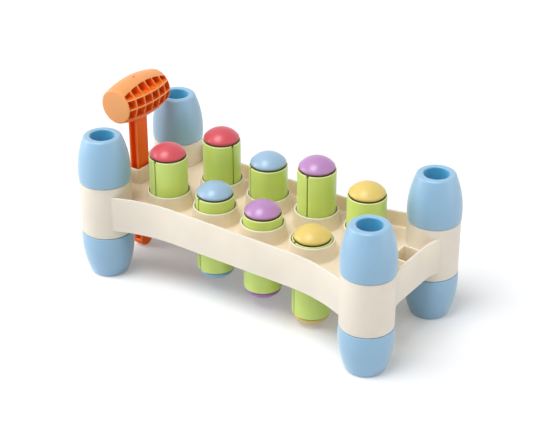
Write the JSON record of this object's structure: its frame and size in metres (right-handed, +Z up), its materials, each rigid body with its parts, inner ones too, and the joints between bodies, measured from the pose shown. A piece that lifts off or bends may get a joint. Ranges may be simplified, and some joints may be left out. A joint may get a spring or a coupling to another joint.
{
  "type": "toy peg pounding bench",
  "caption": "Reversible toy pounding bench: a waisted tray on cup-ended legs, friction-held domed pegs in collars, and a hammer standing in an end socket.",
  "frame": {"origin": "middle of the bench on the surface that it stands on, midway between the four legs", "axes": "+X along the bench towards the empty hammer socket, +Y from the front row of pegs to the back row, +Z up"},
  "size_m": [0.3162, 0.1494, 0.1683],
  "materials": {
    "frame_cream": "fine matt moulded plastic",
    "cup_blue": "smooth satin moulded plastic",
    "sleeve_green": "smooth satin moulded plastic",
    "dome_red": "smooth satin moulded plastic",
    "dome_blue": "smooth satin moulded plastic",
    "dome_purple": "smooth satin moulded plastic",
    "dome_yellow": "smooth satin moulded plastic",
    "hammer_orange": "smooth satin moulded plastic"
  },
  "bodies": {
    "bench": {"bench_frame": "frame_cream", "upper_leg_cup_front_left": "cup_blue", "upper_leg_cup_front_right": "cup_blue", "upper_leg_cup_back_left": "cup_blue", "upper_leg_cup_back_right": "cup_blue", "lower_leg_cup_front_left": "cup_blue", "lower_leg_cup_front_right": "cup_blue", "lower_leg_cup_back_left": "cup_blue", "lower_leg_cup_back_right": "cup_blue"},
    "front_red_peg": {"front_red_peg_core": "dome_red", "front_red_peg_cap": "dome_red", "front_red_peg_sleeve": "sleeve_green"},
    "front_blue_peg": {"front_blue_peg_core": "dome_blue", "front_blue_peg_cap": "dome_blue", "front_blue_peg_sleeve": "sleeve_green"},
    "front_purple_peg": {"front_purple_peg_core": "dome_purple", "front_purple_peg_cap": "dome_purple", "front_purple_peg_sleeve": "sleeve_green"},
    "front_yellow_peg": {"front_yellow_peg_core": "dome_yellow", "front_yellow_peg_cap": "dome_yellow", "front_yellow_peg_sleeve": "sleeve_green"},
    "back_red_peg": {"back_red_peg_core": "dome_red", "back_red_peg_cap": "dome_red", "back_red_peg_sleeve": "sleeve_green"},
    "back_blue_peg": {"back_blue_peg_core": "dome_blue", "back_blue_peg_cap": "dome_blue", "back_blue_peg_sleeve": "sleeve_green"},
    "back_purple_peg": {"back_purple_peg_core": "dome_purple", "back_purple_peg_cap": "dome_purple", "back_purple_peg_sleeve": "sleeve_green"},
    "back_yellow_peg": {"back_yellow_peg_core": "dome_yellow", "back_yellow_peg_cap": "dome_yellow", "back_yellow_peg_sleeve": "sleeve_green"},
    "hammer": {"hammer_head": "hammer_orange", "hammer_handle": "hammer_orange"}
  },
  "joints": [
    {"name": "front_red_peg_slide", "type": "slide", "parent": "bench", "child": "front_red_peg", "axis": [0, 0, 1], "range_m": [-0.0323, 0.0055]},
    {"name": "front_blue_peg_slide", "type": "slide", "parent": "bench", "child": "front_blue_peg", "axis": [0, 0, 1], "range_m": [-0.0099, 0.0279]},
    {"name": "front_purple_peg_slide", "type": "slide", "parent": "bench", "child": "front_purple_peg", "axis": [0, 0, 1], "range_m": [-0.0077, 0.0301]},
    {"name": "front_yellow_peg_slide", "type": "slide", "parent": "bench", "child": "front_yellow_peg", "axis": [0, 0, 1], "range_m": [0, 0.0378]},
    {"name": "back_red_peg_slide", "type": "slide", "parent": "bench", "child": "back_red_peg", "axis": [0, 0, 1], "range_m": [-0.0366, 0.0012]},
    {"name": "back_blue_peg_slide", "type": "slide", "parent": "bench", "child": "back_blue_peg", "axis": [0, 0, 1], "range_m": [-0.0272, 0.0106]},
    {"name": "back_purple_peg_slide", "type": "slide", "parent": "bench", "child": "back_purple_peg", "axis": [0, 0, 1], "range_m": [-0.0378, 0]},
    {"name": "back_yellow_peg_slide", "type": "slide", "parent": "bench", "child": "back_yellow_peg", "axis": [0, 0, 1], "range_m": [-0.0286, 0.0092]},
    {"name": "hammer_lift", "type": "slide", "parent": "bench", "child": "hammer", "axis": [0, 0, 1], "range_m": [0, 0.09]}
  ]
}
